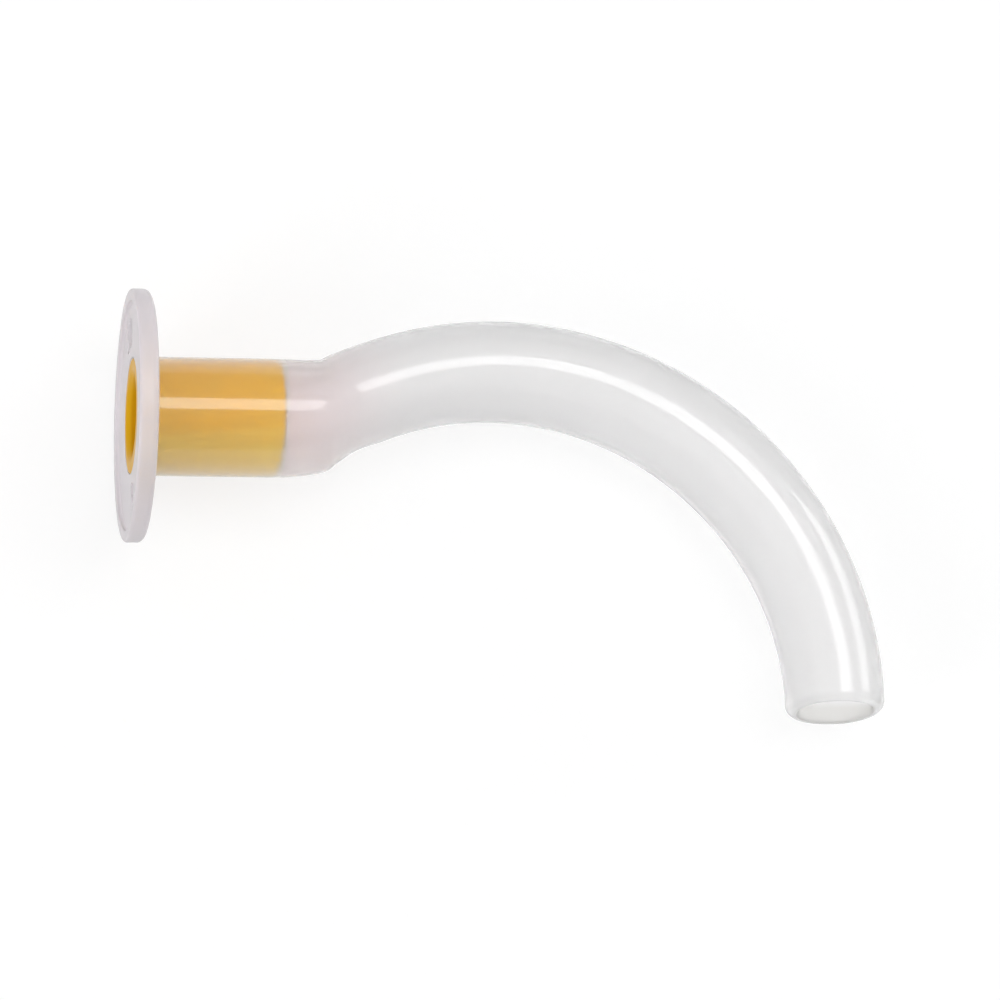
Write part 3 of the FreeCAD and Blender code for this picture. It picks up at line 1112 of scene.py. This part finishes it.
@dataclass
class Sleeve:
    """The stiff coloured sleeve with its collar and flared mouth.

    Attributes:
        front: Place of the collar's front face along the bite section's axis.
        lead: How far the outer edge is cut back at the inner end; bore_lead is the inner edge's cut.
        flare: How far the mouth widens, over the same depth.
        flare_curve: Points of the flare, as shares of its depth and of its widening.
        edge_hold: How close a section stands to a sharp edge, to keep its shading crisp.
        mouth_hold: The same distance at the mouth's outer edge; bore_hold is the one in the bore.
    """

    front: float = 0.55
    collar_half: float = 6.975
    collar_thickness: float = 1.0
    collar_round: float = 0.3
    sleeve_half: float = 6.035
    inner_end: float = 18.75
    lead: float = 0.25
    bore_half: float = 4.875
    flare: float = 0.6
    around: int = 128
    edge_steps: int = 6
    edge_hold: float = 0.03
    mouth_hold: float = 0.05
    bore_lead: float = 0.15
    bore_hold: float = 0.2
    flare_curve: tuple[tuple[float, float], ...] = ((0.6, 0.3), (0.25, 0.7))

    def stations(self) -> list[Station]:
        """Run over the collar, along the outside and back inside.

        Returns:
            The closed row of stations.
        """
        bore = self.bore_half
        outer = self.sleeve_half
        hold = self.edge_hold
        end = self.inner_end
        collar_flat = self.collar_half - self.collar_round
        rows = [
            straight(self.front, bore + self.flare + self.mouth_hold),
            straight(self.front, collar_flat - hold),
        ]
        for forward, side in arc_steps(self.collar_round, self.edge_steps, Bend.INWARDS):
            rows.append(straight(self.front + side, collar_flat + forward))
        back = self.front + self.collar_thickness
        throat = self.front + self.flare
        mouth = [
            (self.front + self.flare * deep, bore + self.flare * wide)
            for deep, wide in self.flare_curve
        ]
        for along, half in (
            (back - hold, self.collar_half),
            (back, self.collar_half),
            (back, outer + hold),
            (back, outer),
            (back + hold, outer),
            (end * 0.5, outer),
            (end - self.lead - hold, outer),
            (end - self.lead, outer),
            (end, outer - self.lead),
            (end, outer - self.lead - hold),
            (end, bore + self.bore_lead),
            (end - self.bore_lead, bore),
            (end - self.bore_hold, bore),
            (end * 0.5, bore),
            (throat + self.bore_hold, bore),
            (throat, bore),
            *mouth,
            (self.front + hold, bore + self.flare),
        ):
            rows.append(straight(along, half))
        rows.append(rows[0])
        return rows

    def build(self, loft: OvalLoft, place: RestPlace, finish: Material) -> None:
        """Skin the sleeve and stand it for its node.

        Args:
            loft: Tree that skins ovals.
            place: Where the airway lies.
            finish: Coloured plastic.
        """
        piece = loft.skin("sleeve", self.stations(), place, self.around, {Stretch.TUBE: finish})
        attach(piece, "root")
        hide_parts("bite_block")


@dataclass(frozen=True)
class Lamp:
    """One soft rectangular lamp.

    Attributes:
        where: Its place in the upright frame, in millimetres.
        aim: The place that it faces, in the same frame.
        size: Its length along the bite section's direction and its other length, in metres.
        power: Its power, in watts.
        mirrored: Whether glossy surfaces show it.
    """

    name: str
    where: Vector
    aim: Vector
    size: tuple[float, float]
    power: float
    mirrored: bool = True

    def hang(self, place: RestPlace) -> None:
        """Hang the lamp over the airway.

        Args:
            place: Where the airway lies.
        """
        data = bpy.data.lights.new(self.name, "AREA")
        data.shape = "RECTANGLE"
        data.size, data.size_y = self.size
        data.energy = self.power
        piece = add_object(self.name, data)
        piece.visible_glossy = self.mirrored
        away = place.direction((self.where - self.aim).normalized())
        across = place.direction(Vector((0.0, 1.0, 0.0)))
        along = across.cross(away).normalized()
        stand(piece, place.point(self.where), [along, away.cross(along), away])
        LOG.info("lamp %s of %.1f W", self.name, self.power)


LOOK_AT = Vector((44.0, -10.0, 0.0))
LAMPS = (
    Lamp(
        name="key",
        where=Vector((130.0, 0.0, 700.0)),
        aim=Vector((130.0, 0.0, 0.0)),
        size=(0.36, 0.3),
        power=1.1,
    ),
    Lamp(
        name="side",
        where=Vector((820.0, 280.0, 410.0)),
        aim=LOOK_AT,
        size=(0.4, 0.43),
        power=1.5,
    ),
    Lamp(
        name="fill",
        where=Vector((-850.0, -420.0, 360.0)),
        aim=LOOK_AT,
        size=(0.8, 0.6),
        power=3.2,
        mirrored=False,
    ),
)


@dataclass
class Studio:
    """White table, soft lamps and the camera at the photograph's angle.

    Attributes:
        distance: From the camera to LOOK_AT, in millimetres.
        shift_right: How far that point is right of the picture's middle; shift_up is above it.
        tip_back: Turn of the camera about the upright frame's X, in radians.
        tip_side: Its turn about Y.
        roll: Its turn about its own line of sight.
        frame_width: Width of the picture at that distance.
        world_strength: How bright the surroundings are for diffuse and glossy rays.
        floor_grey: How light the table is.
        floor_glow: Light that the table adds in view, in mirrors and through the plastic.
    """

    distance: float = 488.0
    shift_right: float = -2.0306
    shift_up: float = 0.0946
    tip_back: float = -0.2732
    tip_side: float = 0.1806
    roll: float = -0.0125
    frame_width: float = 123.6
    sensor: float = 36.0
    nearest: float = 0.01
    farthest: float = 20.0
    floor_size: float = 3.0
    floor_grey: float = 0.3
    floor_roughness: float = 0.9
    world_strength: float = 0.54
    floor_glow: float = 0.74

    def camera_axes(self) -> Matrix:
        """Work out how the camera is turned.

        Returns:
            Its right, up and back directions as rows, in the upright frame.
        """
        return (
            Matrix.Rotation(self.roll, 3, "Z")
            @ Matrix.Rotation(self.tip_side, 3, "Y")
            @ Matrix.Rotation(self.tip_back, 3, "X")
        )

    def build_camera(self, place: RestPlace) -> None:
        """Make the camera and set it as the scene's own.

        Args:
            place: Where the airway lies.
        """
        axes = self.camera_axes()
        offset = axes.transposed() @ Vector((-self.shift_right, -self.shift_up, self.distance))
        where = place.point(LOOK_AT + offset)
        data = bpy.data.cameras.new("camera")
        data.sensor_width = self.sensor
        data.lens = self.sensor * self.distance / self.frame_width
        data.clip_start = self.nearest
        data.clip_end = self.farthest
        camera = add_object("camera", data)
        stand(camera, where, [place.direction(Vector(axes[row])) for row in range(3)])
        bpy.context.scene.camera = camera
        LOG.info("camera at %s", tuple(round(v, 4) for v in where))

    def build_world(self) -> None:
        """Light the scene evenly, and show white wherever a ray leaves it."""
        world = bpy.data.worlds.new("studio")
        world.use_nodes = True
        wiring = Wiring(world.node_tree)
        path = wiring.node("ShaderNodeLightPath").outputs
        seen = wiring.calc("MAXIMUM", path["Is Camera Ray"], path["Is Transmission Ray"])
        level = wiring.node("ShaderNodeMapRange", {"Value": seen, "To Min": self.world_strength})
        feeds = {"Color": (1.0, 1.0, 1.0, 1.0), "Strength": level.outputs["Result"]}
        wiring.feed(world.node_tree.nodes["Background"], feeds)
        bpy.context.scene.world = world

    def build_floor(self) -> None:
        half = self.floor_size / 2
        mesh = bpy.data.meshes.new("floor")
        outline = [(-half, -half, 0.0), (half, -half, 0.0), (half, half, 0.0), (-half, half, 0.0)]
        mesh.from_pydata(outline, [], [(0, 1, 2, 3)])
        floor = add_object("floor", mesh)
        grey = self.floor_grey
        settings = {
            "Base Color": (grey, grey, grey, 1.0),
            "Roughness": self.floor_roughness,
            "Specular IOR Level": 0.0,
            "Emission Color": (1.0, 1.0, 1.0, 1.0),
        }
        material, wiring = start_material("white table", settings)
        path = wiring.node("ShaderNodeLightPath").outputs
        through = wiring.calc("MAXIMUM", path["Is Glossy Ray"], path["Is Transmission Ray"])
        seen = wiring.calc("MAXIMUM", path["Is Camera Ray"], through)
        wiring.feed_shader({"Emission Strength": wiring.times(seen, self.floor_glow)})
        mesh.materials.append(material)

    def build(self, place: RestPlace) -> None:
        """Build the world, the floor, the lamps and the camera.

        Args:
            place: Where the airway lies.
        """
        self.build_world()
        self.build_floor()
        for lamp in LAMPS:
            lamp.hang(place)
        self.build_camera(place)


def main() -> None:
    """Build the airway, dress it and set it in the studio."""
    logging.basicConfig(level=logging.INFO, format="%(name)s: %(message)s")
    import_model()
    bpy.context.scene.view_settings.view_transform = "Standard"
    place = RestPlace()
    loft = OvalLoft()
    skin = MouldedSkin()
    finishes = {stretch: plastic.make(skin) for stretch, plastic in MOULDING_PLASTICS.items()}
    moulding = Moulding()
    moulding.build(loft, place, finishes)
    for number in SIZE_NUMBERS:
        number.build(place, moulding, finishes[Stretch.FLANGE])
    Sleeve().build(loft, place, ColouredPlastic().make(skin))
    Studio().build(place)


if __name__ == "__main__":
    main()
